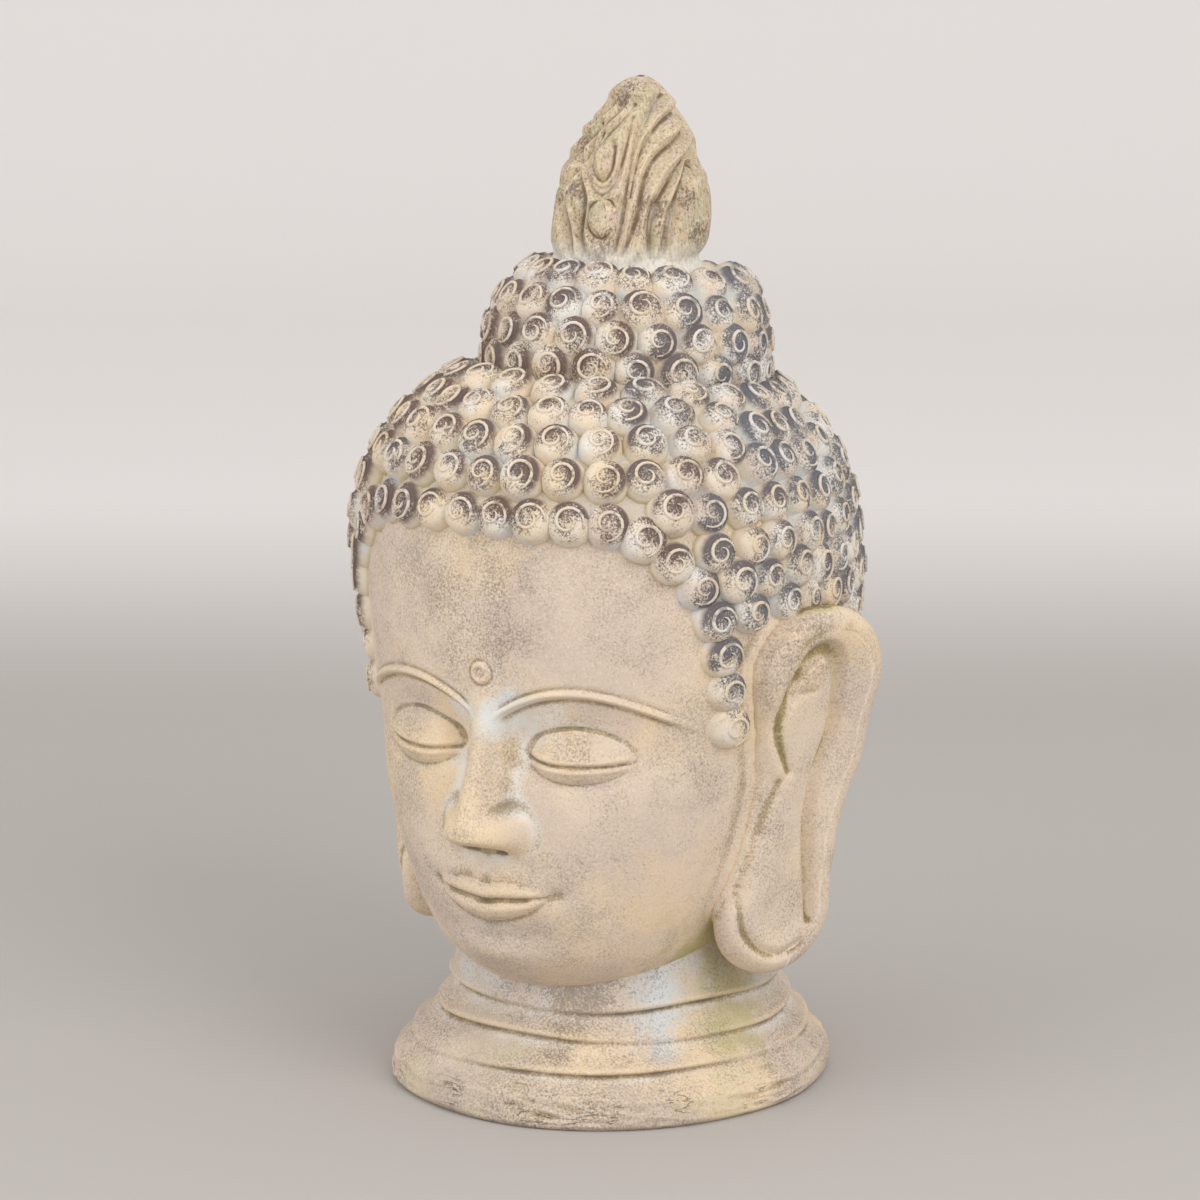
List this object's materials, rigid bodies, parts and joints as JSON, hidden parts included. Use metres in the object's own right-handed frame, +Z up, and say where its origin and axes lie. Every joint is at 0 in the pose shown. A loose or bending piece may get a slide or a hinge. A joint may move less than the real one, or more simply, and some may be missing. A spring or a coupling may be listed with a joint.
{
  "type": "decorative head sculpture",
  "caption": "Cast head with snail-shell curls, topknot, flame finial and long ears, standing on its own flared neck.",
  "frame": {"origin": "centre of the oval underside of the neck's foot, on the ground", "axes": "+Z up along the head's height, -Y the way the face looks, +X the head's own left ear"},
  "size_m": [0.3428, 0.3171, 0.5983],
  "materials": {
    "washed_resin": "matte cream paint wash, rubbed back, with dark brown left on the curls and in the hollows"
  },
  "bodies": {
    "root": {"head_casting": "washed_resin"}
  },
  "joints": []
}
